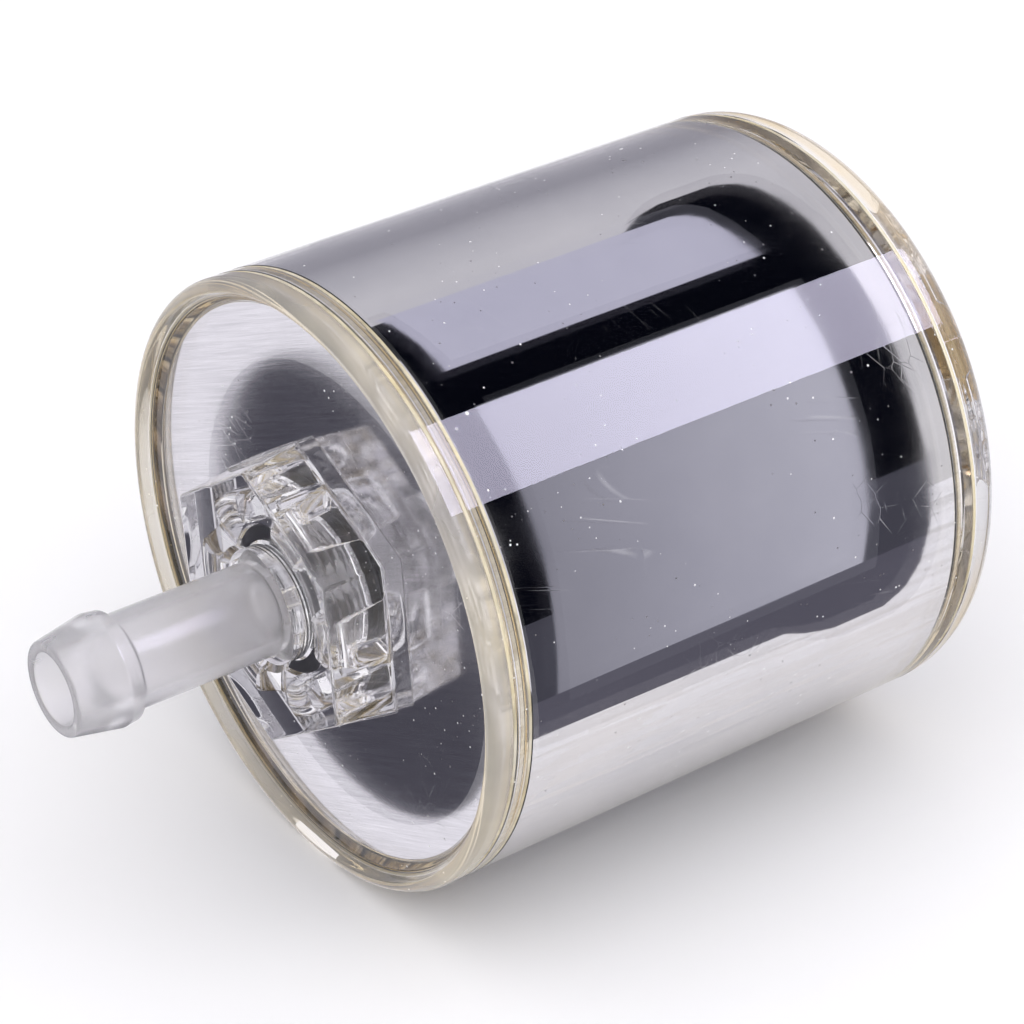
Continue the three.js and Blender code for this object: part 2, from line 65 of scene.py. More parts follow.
RECESS = 1.65 * MM                  # end plate's outer face behind the end of the housing
HEX_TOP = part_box("front_cap")[0].x  # outer face of the front boss
HEX_RADIUS = 12.9 * MM              # to its corners, at the outer face
HEX_BASE_RADIUS = 13.5 * MM
HEX_TURN = radians(-6)              # first corner, from +Z towards -Y
PLUG_RADIUS = 25.15 * MM
CAN_RADIUS = 25.25 * MM             # a hair more than the sleeve's bore, so the two meet without a gap
SLEEVE_BORE = 25.2 * MM
CAN_FACE = 2.08 * MM                # plate's thickness, from its outer face to the canister
HOLE_RADIUS = 5.15 * MM
THREAD_PITCH = 0.94 * MM
THREAD_DEPTH = 0.45 * MM
PLASTIC_IOR = 1.49                  # of the clear housing

TURN_STEPS = 288                    # sides of a large turned surface
PORT_STEPS = 160                    # of the barb and the bushing
SEAL_STEPS = 128

# ---- mesh helpers ----


def place(x, radius, turn):
    """A point at radius from the axis. turn is measured from straight up towards -Y."""
    return Vector((x, AXIS_Y - radius * sin(turn), AXIS_HEIGHT + radius * cos(turn)))


def even_turns(steps=TURN_STEPS):
    return [2 * pi * i / steps for i in range(steps)]


def arc(x, radius, size, start, end, steps):
    """Outline points of a round stretch about (x, radius), from angle start to end in degrees."""
    points = []
    for i in range(steps + 1):
        a = radians(start + (end - start) * i / steps)
        points.append((x + size * cos(a), radius + size * sin(a), 0))
    return points


def at(value, turn):
    """A place along the axis or a radius, either a number or a function of the turn."""
    return value(turn) if callable(value) else value


def mirrored(outline):
    """The outline of an end piece turned end for end, from the front rim to the rear rim."""

    def turned_over(x):
        return lambda turn: RIM_X + REAR_X - at(x, turn)

    return [(turned_over(x), radius, slot) for x, radius, slot in outline]


LONG_BAND = 1.0 * MM                # bands longer than this get a narrow strip at each end
STRIP_WIDTH = 0.05 * MM
SHARP_EDGE = 28                     # edges that turn by more degrees than this stay sharp


def between(a, b, part):
    """The outline point at part of the way from a to b."""
    return (
        lambda turn: at(a[0], turn) * (1 - part) + at(b[0], turn) * part,
        lambda turn: at(a[1], turn) * (1 - part) + at(b[1], turn) * part,
        a[2],
    )


def with_strips(outline):
    """Narrow strips at both ends of each long band keep its shading flat between the round edges."""
    points = []
    for a, b in zip(outline, outline[1:] + outline[:1]):
        points.append(a)
        along, out = (at(b[i], HEX_TURN) - at(a[i], HEX_TURN) for i in (0, 1))
        length = sqrt(along ** 2 + out ** 2)
        if length > LONG_BAND:
            points.append(between(a, b, STRIP_WIDTH / length))
            points.append(between(a, b, 1 - STRIP_WIDTH / length))
    return points


def turned(name, outline, materials, turns=None):
    """A closed body turned about the housing's axis.
    outline holds (x, radius, slot). x and radius are numbers, or functions of the turn for hexagons, threads
    and pockets. slot is the material of the band that starts at that point."""
    turns = turns or even_turns()
    outline = with_strips(outline)
    mesh = bmesh.new()
    rows = []
    for x, radius, _ in outline:
        rows.append([mesh.verts.new(place(at(x, t), at(radius, t), t)) for t in turns])
    for i, here in enumerate(rows):
        there = rows[(i + 1) % len(rows)]
        for k in range(len(turns)):
            n = (k + 1) % len(turns)
            face = mesh.faces.new((here[k], here[n], there[n], there[k]))
            face.material_index = outline[i][2]
    return finished(name, mesh, materials)


def finished(name, mesh, materials):
    """Turns the bmesh into a piece: faces out, smooth where the surface is round and sharp at its edges."""
    bmesh.ops.recalc_face_normals(mesh, faces=mesh.faces)
    for face in mesh.faces:
        face.smooth = True
    for edge in mesh.edges:
        edge.smooth = edge.calc_face_angle(0) < radians(SHARP_EDGE)
    data = bpy.data.meshes.new(name)
    mesh.to_mesh(data)
    mesh.free()
    for material in materials:
        data.materials.append(material)
    piece = bpy.data.objects.new(name, data)
    bpy.context.scene.collection.objects.link(piece)
    return piece


def stand_for(piece, node):
    """The piece rides on the body and takes the place of the CAD node."""
    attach(piece, "root")
    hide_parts(node)
    return piece


# ---- material helpers ----

SCRATCH_STRETCH = 0.03              # width over length of the cells whose edges are the scratches
SCRATCH_PATCHES = 0.3               # scale of the scratched patches over that of the cells


class Look:
    """A material with one Principled shader, and short ways to add texture nodes."""

    def __init__(self, name, **values):
        self.material = bpy.data.materials.new(name)
        self.material.use_nodes = True
        self.tree = self.material.node_tree
        self.shader = self.tree.nodes["Principled BSDF"]
        self.out = self.tree.nodes["Material Output"]
        for socket, value in values.items():
            self.shader.inputs[socket.replace("_", " ")].default_value = value
        self.place = self.node("ShaderNodeTexCoord").outputs["Object"]

    def node(self, kind, **settings):
        made = self.tree.nodes.new(kind)
        for key, value in settings.items():
            setattr(made, key, value)
        return made

    def link(self, source, target):
        self.tree.links.new(source, target)

    def shift(self, scale, turn=None):
        """The object's coordinates, turned first and then stretched."""
        source = self.place
        for key, value in (("Rotation", turn), ("Scale", scale)):
            if value is None:
                continue
            made = self.node("ShaderNodeMapping")
            made.inputs[key].default_value = value
            self.link(source, made.inputs["Vector"])
            source = made.outputs["Vector"]
        return source

    def noise(self, scale, detail=3.0, rough=0.5, where=None):
        made = self.node("ShaderNodeTexNoise")
        made.inputs["Scale"].default_value = scale
        made.inputs["Detail"].default_value = detail
        made.inputs["Roughness"].default_value = rough
        self.link(where or self.place, made.inputs["Vector"])
        return made.outputs["Fac"]

    def cells(self, scale, feature="F1", where=None):
        made = self.node("ShaderNodeTexVoronoi", feature=feature)
        made.inputs["Scale"].default_value = scale
        self.link(where or self.place, made.inputs["Vector"])
        return made.outputs["Distance"]

    def span(self, value, low, high, to_low=0.0, to_high=1.0, smooth=False):
        """value's stretch from low to high, put onto to_low to to_high."""
        made = self.node("ShaderNodeMapRange")
        if smooth:
            made.interpolation_type = "SMOOTHSTEP"
        self.link(value, made.inputs["Value"])
        for key, number in zip(("From Min", "From Max", "To Min", "To Max"), (low, high, to_low, to_high)):
            made.inputs[key].default_value = number
        return made.outputs["Result"]

    def maths(self, operation, *values):
        made = self.node("ShaderNodeMath", operation=operation)
        for socket, value in zip(made.inputs, values):
            if isinstance(value, (int, float)):
                socket.default_value = value
            else:
                self.link(value, socket)
        return made.outputs[0]

    def times(self, a, b):
        return self.maths("MULTIPLY", a, b)

    def plus(self, a, b):
        return self.maths("ADD", a, b)

    def most(self, first, *others):
        """The highest of the values."""
        for other in others:
            first = self.maths("MAXIMUM", first, other)
        return first

    def blend(self, factor, a, b):
        """Colour a where factor is 0 and colour b where it is 1."""
        made = self.node("ShaderNodeMix", data_type="RGBA")
        self.link(factor, made.inputs["Factor"])
        for key, value in (("A", a), ("B", b)):
            socket = [s for s in made.inputs if s.name == key and s.type == "RGBA"][0]
            if isinstance(value, tuple):
                socket.default_value = (*value, 1)
            else:
                self.link(value, socket)
        return [s for s in made.outputs if s.type == "RGBA"][0]

    def bump(self, height, distance, strength=1.0, after=None):
        made = self.node("ShaderNodeBump")
        made.inputs["Strength"].default_value = strength
        made.inputs["Distance"].default_value = distance
        self.link(height, made.inputs["Height"])
        if after is not None:
            self.link(after, made.inputs["Normal"])
        self.link(made.outputs["Normal"], self.shader.inputs["Normal"])
        return made.outputs["Normal"]

    def drive(self, socket, source):
        self.link(source, self.shader.inputs[socket])

    def from_axis(self):
        """Distance from the housing's axis, in metres."""
        spot = self.node("ShaderNodeSeparateXYZ")
        self.link(self.place, spot.inputs[0])
        side = self.maths("POWER", self.maths("SUBTRACT", spot.outputs["Y"], AXIS_Y), 2.0)
        up = self.maths("POWER", self.maths("SUBTRACT", spot.outputs["Z"], AXIS_HEIGHT), 2.0)
        return self.maths("SQRT", self.plus(side, up))

    def scratches(self, scale, width, turn):
        """Fine scratches along the edges of long cells, in patches: 1 on a scratch and 0 elsewhere."""
        long = self.shift((scale, scale, scale * SCRATCH_STRETCH), turn)
        line = self.span(self.cells(1.0, "DISTANCE_TO_EDGE", long), 0.0, width, 1.0, 0.0)
        patch = self.span(self.noise(scale * SCRATCH_PATCHES, 2.0), 0.62, 0.70)
        return self.times(line, patch)


FRESH = (0.985, 0.98, 0.985)
CREAM = (0.95, 0.87, 0.70)          # tint of the inlet rim
PAINTED_AMBER_REFRACTION = (0.90, 0.70, 0.40)          # painted refraction: the yellowed cement as the outlet rim's rounded edge shows it, at the top and bottom
YELLOW_FROM = 25.0 * MM             # distance from the axis where the yellowing and the painted amber start
YELLOW_FULL = 26.4 * MM


def yellowing_and_painted_amber(look):
    """How cream and how amber the rims are. Cream is yellowing, in patches all round the inlet rim. The amber
    at the top and on the lower half of the outlet rim is painted refraction: the yellowed cement as the rim's
    rounded edge shows it."""
    spot = look.node("ShaderNodeSeparateXYZ")
    look.link(look.place, spot.inputs[0])
    along, up = spot.outputs["X"], spot.outputs["Z"]
    edge = look.span(look.from_axis(), YELLOW_FROM, YELLOW_FULL, smooth=True)
    front = look.span(along, RIM_X + 3.4 * MM, RIM_X + 2.2 * MM)
    rear = look.span(along, REAR_X - 3.8 * MM, REAR_X - 3.0 * MM)
    high = look.span(up, AXIS_HEIGHT + 0.6 * BODY_RADIUS, AXIS_HEIGHT + 0.9 * BODY_RADIUS)
    low = look.span(up, AXIS_HEIGHT + 0.05 * BODY_RADIUS, AXIS_HEIGHT - 0.35 * BODY_RADIUS)
    cream_patch = look.span(look.noise(70, 3.0), 0.35, 0.65, 0.45, 1.0)
    painted_amber_patch = look.span(look.noise(90, 3.0), 0.3, 0.6, 0.5, 1.0)
    cream = look.times(edge, look.times(front, cream_patch))
    # Painted refraction: amber placed at the top and on the lower half of the outlet rim, where its rounded
    # edge shows the yellowed cement.
    painted_amber = look.times(edge, look.times(rear, look.times(look.most(high, low), painted_amber_patch)))
    return cream, painted_amber


def dust_specks(look):
    """1 on a speck of dust and 0 elsewhere: fine dust in patches, and coarser specks all over."""
    patch = look.span(look.noise(90, 3.0), 0.48, 0.56)
    fine = look.times(look.span(look.cells(800), 0.07, 0.05), patch)
    medium = look.span(look.cells(420), 0.05, 0.03)
    coarse = look.span(look.cells(130), 0.03, 0.018)
    return look.most(fine, medium, coarse)


def clear_plastic():
    """Cast acrylic: clear and glossy, yellowed at the inlet rim, with a painted refraction of yellowed cement
    at the top and bottom of the outlet rim, and with ripples, scratches, rubs and dust.
    """
    look = Look("clear_plastic", IOR=PLASTIC_IOR)
    cream, painted_amber = yellowing_and_painted_amber(look)
    # Base colour: cream yellowing at the inlet rim, and the painted amber refraction at the outlet rim.
    look.drive("Base Color", look.blend(painted_amber, look.blend(cream, FRESH, CREAM), PAINTED_AMBER_REFRACTION))
    scratch = look.most(
        look.scratches(330, 0.012, (0.3, 1.25, 0.2)),
        look.scratches(420, 0.014, (1.3, 0.3, -0.5)),
    )
    dust = dust_specks(look)
    rub = look.span(look.noise(120, 5.0, 0.65), 0.56, 0.74)
    rough = look.plus(look.times(rub, 0.05), look.times(scratch, 0.15))
    look.drive("Roughness", look.plus(rough, look.times(dust, 0.5)))
    # The cream yellowing and the painted amber refraction both dull the plastic.
    haze_and_painted_amber = look.plus(look.times(cream, 0.42), look.times(painted_amber, 0.3))
    dull = look.most(look.times(dust, 0.8), look.times(scratch, 0.16), haze_and_painted_amber)
    look.drive("Transmission Weight", look.maths("SUBTRACT", 1.0, dull))
    ripple = look.bump(look.noise(70, 1.0, 0.4), 0.06 * MM, 0.25)
    look.bump(look.times(scratch, -1.0), 0.003 * MM, 0.5, ripple)
    return look.material


def bonded_face():
    """A face that its neighbour is cemented to: light goes straight through it."""
    look = Look("bonded_face")
    clear = look.node("ShaderNodeBsdfTransparent")
    look.link(clear.outputs[0], look.out.inputs["Surface"])
    return look.material


def aged_adhesive():
    """Cement squeezed out in the seam, yellowed in patches."""
    look = Look("aged_adhesive", IOR=1.5)
    patch = look.span(look.noise(160, 4.0, 0.6), 0.35, 0.7)
    look.drive("Base Color", look.blend(patch, (0.98, 0.86, 0.56), (0.99, 0.94, 0.80)))
    look.drive("Roughness", look.span(look.noise(600, 3.0), 0.3, 0.7, 0.2, 0.5))
    look.bump(look.noise(900, 3.0), 0.05 * MM, 0.4)
    clear = look.node("ShaderNodeBsdfTransparent")
    clear.inputs["Color"].default_value = (1.0, 0.955, 0.80, 1)
    mix = look.node("ShaderNodeMixShader")
    look.link(look.span(look.noise(240, 4.0, 0.6), 0.3, 0.75, 0.3, 0.75), mix.inputs[0])
    look.link(clear.outputs[0], mix.inputs[1])
    look.link(look.shader.outputs[0], mix.inputs[2])
    look.link(mix.outputs[0], look.out.inputs["Surface"])
    return look.material


def adhesive_film():
    """The thin cement between two faces: clear, tinted in patches."""
    look = Look("adhesive_film")
    clear = look.node("ShaderNodeBsdfTransparent")
    patch = look.span(look.noise(190, 4.0, 0.6), 0.35, 0.7)
    look.link(look.blend(patch, (0.97, 0.91, 0.76), (0.99, 0.965, 0.90)), clear.inputs["Color"])
    look.link(clear.outputs[0], look.out.inputs["Surface"])
    return look.material


def polished_metal():
    """Nickel-bright tube: mirror finish with fine turned lines and a few rubs."""
    look = Look("polished_metal", Metallic=1.0)
    lines = look.noise(1.0, 2.0, 0.6, look.shift((9000, 60, 60)))
    fine = look.noise(1.0, 3.0, 0.7, look.shift((26000, 120, 120)))
    cloud = look.noise(90, 3.0, 0.6)
    look.drive("Roughness", look.span(cloud, 0.35, 0.75, 0.015, 0.045))
    wave = look.bump(look.noise(45, 1.0, 0.4), 0.05 * MM, 0.3)
    turnings = look.bump(lines, 0.00008 * MM, 0.5, wave)
    look.bump(fine, 0.00004 * MM, 0.5, turnings)
    look.drive("Base Color", look.blend(look.span(cloud, 0.3, 0.8), (0.82, 0.81, 0.83), (0.74, 0.735, 0.765)))
    return look.material


BRUSH_TURN = radians(27)            # the straight grain of the end discs, from +Y towards -Z


def brushed_metal():
    """Straight-brushed disc: long fine grain with cloudy patches."""
    look = Look("brushed_metal", Metallic=1.0)
    grain = look.noise(1.0, 4.0, 0.75, look.shift((1, 160, 9000), (BRUSH_TURN, 0, 0)))
    strand = look.noise(1.0, 3.0, 0.6, look.shift((1, 60, 2600), (BRUSH_TURN, 0, 0)))
    cloud = look.noise(110, 4.0, 0.6)
    both = look.plus(look.times(grain, 0.6), look.times(strand, 0.4))
    tone = look.span(both, 0.35, 0.65)
    look.drive("Base Color", look.blend(tone, (0.62, 0.615, 0.64), (0.82, 0.815, 0.835)))
    look.drive("Roughness", look.span(cloud, 0.3, 0.7, 0.045, 0.07))
    look.bump(both, 0.0016 * MM, 0.6)
    return look.material


def natural_nylon():
    """Milky moulded nylon: satin outside, with streaks and a dull sheen."""
    look = Look("natural_nylon", Transmission_Weight=0.82, IOR=1.5)
    streak = look.noise(1.0, 2.0, 0.5, look.shift((50, 300, 300)))
    look.drive("Roughness", look.span(streak, 0.3, 0.75, 0.2, 0.28))
    look.drive("Base Color", look.blend(look.span(streak, 0.3, 0.8), (0.99, 0.98, 0.985), (0.94, 0.93, 0.96)))
    soft = look.bump(look.noise(260, 2.0), 0.03 * MM, 0.3)
    look.bump(look.noise(1800, 2.0), 0.004 * MM, 0.3, soft)
    return look.material


def brass():
    """Turned brass, tarnished in patches."""
    look = Look("brass", Metallic=1.0)
    lines = look.noise(1.0, 3.0, 0.6, look.shift((9000, 200, 200)))
    tarnish = look.span(look.noise(300, 4.0, 0.6), 0.4, 0.75)
    look.drive("Base Color", look.blend(tarnish, (0.82, 0.62, 0.30), (0.55, 0.38, 0.18)))
    look.drive("Roughness", look.span(lines, 0.3, 0.7, 0.18, 0.38))
    look.bump(lines, 0.004 * MM, 0.6)
    return look.material


def seal_rubber():
    """Black rubber with a pale bloom."""
    look = Look("seal_rubber", IOR=1.52)
    bloom = look.noise(500, 4.0, 0.6)
    pale = look.span(bloom, 0.4, 0.8)
    look.drive("Base Color", look.blend(pale, (0.012, 0.012, 0.016), (0.05, 0.05, 0.058)))
    look.drive("Roughness", look.span(bloom, 0.3, 0.7, 0.45, 0.7))
    look.bump(look.noise(3000, 3.0), 0.02 * MM, 0.5)
    return look.material


def zinc_plate():
    """Zinc-plated sheet with faint crystals."""
    look = Look("zinc_plate", Metallic=1.0)
    spangle = look.cells(350)
    look.drive("Base Color", look.blend(look.span(spangle, 0.1, 0.9), (0.72, 0.72, 0.69), (0.55, 0.56, 0.55)))
    look.drive("Roughness", look.span(look.noise(500, 3.0), 0.3, 0.7, 0.28, 0.5))
    look.bump(look.noise(1400, 3.0), 0.01 * MM, 0.4)
    return look.material


def plastisol():
    """Mottled red potting."""
    look = Look("plastisol", IOR=1.5)
    mottle = look.noise(420, 4.0, 0.6)
    look.drive("Base Color", look.blend(look.span(mottle, 0.35, 0.7), (0.46, 0.10, 0.06), (0.62, 0.18, 0.10)))
    look.drive("Roughness", look.span(mottle, 0.3, 0.7, 0.4, 0.62))
    look.bump(look.noise(900, 3.0), 0.05 * MM, 0.4)
    return look.material


def filter_paper():
    """Resin-treated paper with fibres along the axis."""
    look = Look("filter_paper")
    fibre = look.noise(1.0, 5.0, 0.7, look.shift((500, 2600, 2600)))
    look.drive("Base Color", look.blend(look.span(fibre, 0.3, 0.75), (0.62, 0.46, 0.22), (0.86, 0.74, 0.46)))
    look.drive("Roughness", look.span(fibre, 0.3, 0.7, 0.8, 0.95))
    look.bump(fibre, 0.05 * MM, 0.6)
    return look.material


CLEAR = clear_plastic()
BONDED = bonded_face()
ADHESIVE = aged_adhesive()
ADHESIVE_FILM = adhesive_film()
POLISHED = polished_metal()
BRUSHED = brushed_metal()
NYLON = natural_nylon()
BRASS = brass()
RUBBER = seal_rubber()
ZINC = zinc_plate()
PLASTISOL = plastisol()
PAPER = filter_paper()

# ---- hexagon and thread, as radii that change with the turn ----

CORNER_ROUND = 0.4 * MM             # corners between the flats
SECTOR = pi / 3
CORNER_SPAN = 3                     # degrees either side of a corner that get close steps
CORNER_STEPS = 6                    # close steps on each side of a corner
FLAT_STEPS = 34                     # steps along the rest of a flat
THREAD_STEPS = 8                    # rows in one turn of a thread
THREAD_FADE = 6                     # rows over which a thread comes up to its full depth


def hexagon(corner_radius):
    """Radius of a six-sided outline with rounded corners, as a function of the turn."""
    flat = corner_radius * cos(SECTOR / 2)
    hub = (flat - CORNER_ROUND) / cos(SECTOR / 2)
    flat_half = atan2((flat - CORNER_ROUND) * tan(SECTOR / 2), flat)

    def radius(turn):
        from_flat = (turn - HEX_TURN) % SECTOR - SECTOR / 2
        if abs(from_flat) <= flat_half:
            return flat / cos(from_flat)
        to_corner = SECTOR / 2 - abs(from_flat)
        return hub * cos(to_corner) + sqrt(CORNER_ROUND ** 2 - (hub * sin(to_corner)) ** 2)

    return radius


def hexagon_turns():
    """Turns with close steps at the six corners and wider ones along the flats."""
    span = radians(CORNER_SPAN)
    near = [span * i / CORNER_STEPS for i in range(-CORNER_STEPS, CORNER_STEPS + 1)]
    wide = [span + (SECTOR - 2 * span) * i / FLAT_STEPS for i in range(1, FLAT_STEPS)]
    return [HEX_TURN + corner * SECTOR + t for corner in range(6) for t in near + wide]


def thread(x, crest, depth, start):
    """Radius of a helical thread's V at one place along the axis, as a function of the turn."""

    def radius(turn):
        along = ((x - start) / THREAD_PITCH - turn / (2 * pi)) % 1
        return crest - depth * abs(2 * along - 1)

    return radius


def thread_rows(x0, x1, crest, depth):
    """Outline points of a thread from x0 to x1, which fades out at both ends."""
    steps = round((x1 - x0) / THREAD_PITCH * THREAD_STEPS)
    rows = []
    for i in range(steps + 1):
        x = x0 + (x1 - x0) * i / steps
        fade = min(1, i / THREAD_FADE, (steps - i) / THREAD_FADE)
        rows.append((x, thread(x, crest, depth * fade, x0), 0))
    return rows


# ---- clear housing ----

CLEAR_MATERIALS = [CLEAR, BONDED]
FREE, CEMENTED = 0, 1               # slots of CLEAR_MATERIALS: a face in the open, or cemented to a neighbour
PLATE_X = RIM_X + RECESS            # outer face of the end plate
CONTACT_LAP = 0.02 * MM             # plate's inner face past the metal's face, so the two meet without a gap
FRONT_CONTACT_X = PLATE_X + CAN_FACE + CONTACT_LAP
REAR_CONTACT_X = RIM_X + REAR_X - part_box("rear_end_disc")[1].x + CONTACT_LAP
POCKET_INNER = 7.2 * MM             # distances of the pocket's walls from the axis
POCKET_OUTER = 10.0 * MM
POCKET_ROUND = 1.2 * MM             # drop of the pocket's floor from its middle to its walls
POCKET_SKIN = 1.9 * MM              # boss face left over each pocket
POCKET_SHALLOW = 0.15 * MM          # depth left at the webs between the pockets
POCKET_HALF = radians(13)           # full depth on each side of the middle of a flat
POCKET_SLOPE = radians(7)           # and the end wall beyond that
POCKET_STEPS = 14
# Raised rims: how far the crest lies behind the end of the housing, the round of its outer edge,
# and the radius where the end plate begins to rise.
FRONT_RIM = (0.6 * MM, 1.0 * MM, 25.45 * MM)
REAR_RIM = (0.0, 3.1 * MM, 22.8 * MM)
SEAT_DEPTH = 1.4 * MM               # of the seal's seat round the hole, from the canister
SEAT_RADIUS = 6.8 * MM
SEAT_CHAMFER = 0.2 * MM             # where the hole opens into the seat
MOUTH_CHAMFER = 0.5 * MM
TAPPED_FROM = 0.4 * MM              # the tapped stretch, behind the mouth's chamfer
TAPPED_DEPTH = 0.03 * MM            # shallow ridges left by the tap
FACE_ROUND = 0.3 * MM               # edge between the boss's face and its flats
BASE_FILLET = 0.35 * MM             # between the boss's flats and the end plate
SEAM_CHAMFER = 0.08 * MM            # broken edge at each seam
EDGE_STEPS = 4
RISE_STEPS = 12                     # up the inner slope of the rim
RIM_STEPS = 14                      # round the rim's outer edge


def pocket_depth(turn, deep):
    """Depth of the kidney-shaped pockets, one behind each flat, with thin webs at the corners."""
    from_flat = abs((turn - HEX_TURN) % SECTOR - SECTOR / 2)
    part = min(1, max(0, (POCKET_HALF + POCKET_SLOPE - from_flat) / POCKET_SLOPE))
    return POCKET_SHALLOW + (deep - POCKET_SHALLOW) * part * part * (3 - 2 * part)


def pocket_rows(contact):
    """The pocket's wall from its outer radius over its round floor to its inner radius."""
    middle = (POCKET_INNER + POCKET_OUTER) / 2
    half = (POCKET_OUTER - POCKET_INNER) / 2
    deep = contact - HEX_TOP - POCKET_SKIN

    def floor_x(share):
        return lambda turn: contact - pocket_depth(turn, deep) * share

    rows = [(contact, POCKET_OUTER, FREE)]
    for i in range(POCKET_STEPS + 1):
        a = pi * i / POCKET_STEPS
        rows.append((floor_x(1 - POCKET_ROUND / deep * (1 - sin(a))), middle + half * cos(a), FREE))
    rows.append((contact, POCKET_INNER, FREE))
    return rows


def cap_outline(rim, flange, contact):
    """A cap at the front end, from the mouth of its hole outwards, round the rim and back inside.
    The cored pockets behind the boss are open towards the canister, whose face is at contact."""
    crest, edge_round, inner = rim
    base = hexagon(HEX_BASE_RADIUS)
    top = hexagon(HEX_RADIUS)
    outline = [(HEX_TOP + MOUTH_CHAMFER, HOLE_RADIUS, FREE), (HEX_TOP, HOLE_RADIUS + MOUTH_CHAMFER, FREE)]

    def inset(shape, amount):
        return lambda turn: shape(turn) - amount

    quarter = [pi / 2 * i / EDGE_STEPS for i in range(EDGE_STEPS + 1)]
    for a in quarter[::-1]:
        outline.append((HEX_TOP + FACE_ROUND * (1 - sin(a)), inset(top, FACE_ROUND * (1 - cos(a))), FREE))
    for a in quarter:
        outline.append((PLATE_X - BASE_FILLET * (1 - sin(a)), inset(base, -BASE_FILLET * (1 - cos(a))), FREE))
    for i in range(RISE_STEPS + 1):
        part = i / RISE_STEPS
        rise = (RECESS - crest) * (1 - cos(pi * part)) / 2
        outline.append((PLATE_X - rise, inner + (BODY_RADIUS - edge_round - inner) * part, FREE))
    outline += arc(RIM_X + crest + edge_round, BODY_RADIUS - edge_round, edge_round, 180, 90, RIM_STEPS)[1:]
    seam = RIM_X + flange
    outline += [
        (seam - SEAM_CHAMFER, BODY_RADIUS, FREE),
        (seam, BODY_RADIUS - SEAM_CHAMFER, CEMENTED),
        (seam, PLUG_RADIUS, CEMENTED),
        (contact, PLUG_RADIUS, FREE),
    ]
    outline += pocket_rows(contact)
    seat = contact - SEAT_DEPTH
    outline += [
        (contact, SEAT_RADIUS, FREE),
        (seat, SEAT_RADIUS, FREE),
        (seat, HOLE_RADIUS + SEAT_CHAMFER, FREE),
    ]
    hole = thread_rows(HEX_TOP + MOUTH_CHAMFER + TAPPED_FROM, seat - SEAT_CHAMFER, HOLE_RADIUS, TAPPED_DEPTH)
    return outline + hole[::-1]


def clear_cap(name, node, outline):
    piece = turned(name, outline, CLEAR_MATERIALS, hexagon_turns())
    return stand_for(piece, node)


clear_cap("front_clear_cap", "front_cap", cap_outline(FRONT_RIM, FRONT_FLANGE, FRONT_CONTACT_X))
clear_cap("rear_clear_cap", "rear_cap", mirrored(cap_outline(REAR_RIM, REAR_FLANGE, REAR_CONTACT_X)))


def clear_tube(name, node, x0, x1, bore_slot):
    """A stretch of the clear wall, with cemented ends and outer edges broken by a small chamfer."""
    outline = [
        (x0, SLEEVE_BORE, CEMENTED),
        (x0, BODY_RADIUS - SEAM_CHAMFER, FREE),
        (x0 + SEAM_CHAMFER, BODY_RADIUS, FREE),
        (x1 - SEAM_CHAMFER, BODY_RADIUS, FREE),
        (x1, BODY_RADIUS - SEAM_CHAMFER, CEMENTED),
        (x1, SLEEVE_BORE, bore_slot),
    ]
    return stand_for(turned(name, outline, CLEAR_MATERIALS), node)


clear_tube("clear_sleeve", "outer_sleeve", SLEEVE_LOW.x, SLEEVE_HIGH.x, FREE)
clear_tube("front_spacer_ring", "front_ring", FRONT_RING_LOW.x, FRONT_RING_HIGH.x, CEMENTED)

BEAD_DEPTH = 0.35 * MM              # yellowed bead at the outer edge of a seam
BEAD_DROP = 0.03 * MM               # its middle below the housing's surface; its edges lie twice as deep
BEAD_SHOULDER = 0.25                # its rounded edges, as a share of its width
THIN, BEAD = 0, 1                   # slots of a seam's two materials


def film(name, node, x0, x1):
    """Cement in one seam: clear between the cemented faces, with a thick yellowed bead at its outer edge."""
    shoulder = (x1 - x0) * BEAD_SHOULDER
    outline = [
        (x0, SLEEVE_BORE, THIN),
        (x0, BODY_RADIUS - BEAD_DEPTH, BEAD),
        (x0, BODY_RADIUS - 2 * BEAD_DROP, BEAD),
        (x0 + shoulder, BODY_RADIUS - BEAD_DROP, BEAD),
        (x1 - shoulder, BODY_RADIUS - BEAD_DROP, BEAD),
        (x1, BODY_RADIUS - 2 * BEAD_DROP, BEAD),
        (x1, BODY_RADIUS - BEAD_DEPTH, THIN),
        (x1, SLEEVE_BORE, THIN),
    ]
    return stand_for(turned(name, outline, [ADHESIVE_FILM, ADHESIVE]), node)


HAIR = 0.005 * MM                   # clearance that keeps cemented faces from lying in one plane
film("front_cap_cement", "front_outer_bond", RIM_X + FRONT_FLANGE + HAIR, FRONT_RING_LOW.x - HAIR)
film("front_ring_cement", "front_inner_bond", FRONT_RING_HIGH.x + HAIR, SLEEVE_LOW.x - HAIR)
film("rear_cap_cement", "rear_bond", SLEEVE_HIGH.x + HAIR, REAR_X - REAR_FLANGE - HAIR)

# ---- canister ----

DISC_SHEET = 0.8 * MM
DISC_X = PLATE_X + CAN_FACE         # front face of the front disc
DISC_HOLE = 5.3 * MM
DISC_EDGE = 0.45 * MM               # rolled outer edge
DISC_EDGE_STEPS = 8
NECK_RADIUS = 6.0 * MM              # outside of the rear disc's neck
LIP_OUTER = CAN_RADIUS - 0.7 * MM
LIP_LENGTH = 3.0 * MM
SHELL_SHEET = 0.6 * MM
SHELL_CHAMFER = 0.1 * MM

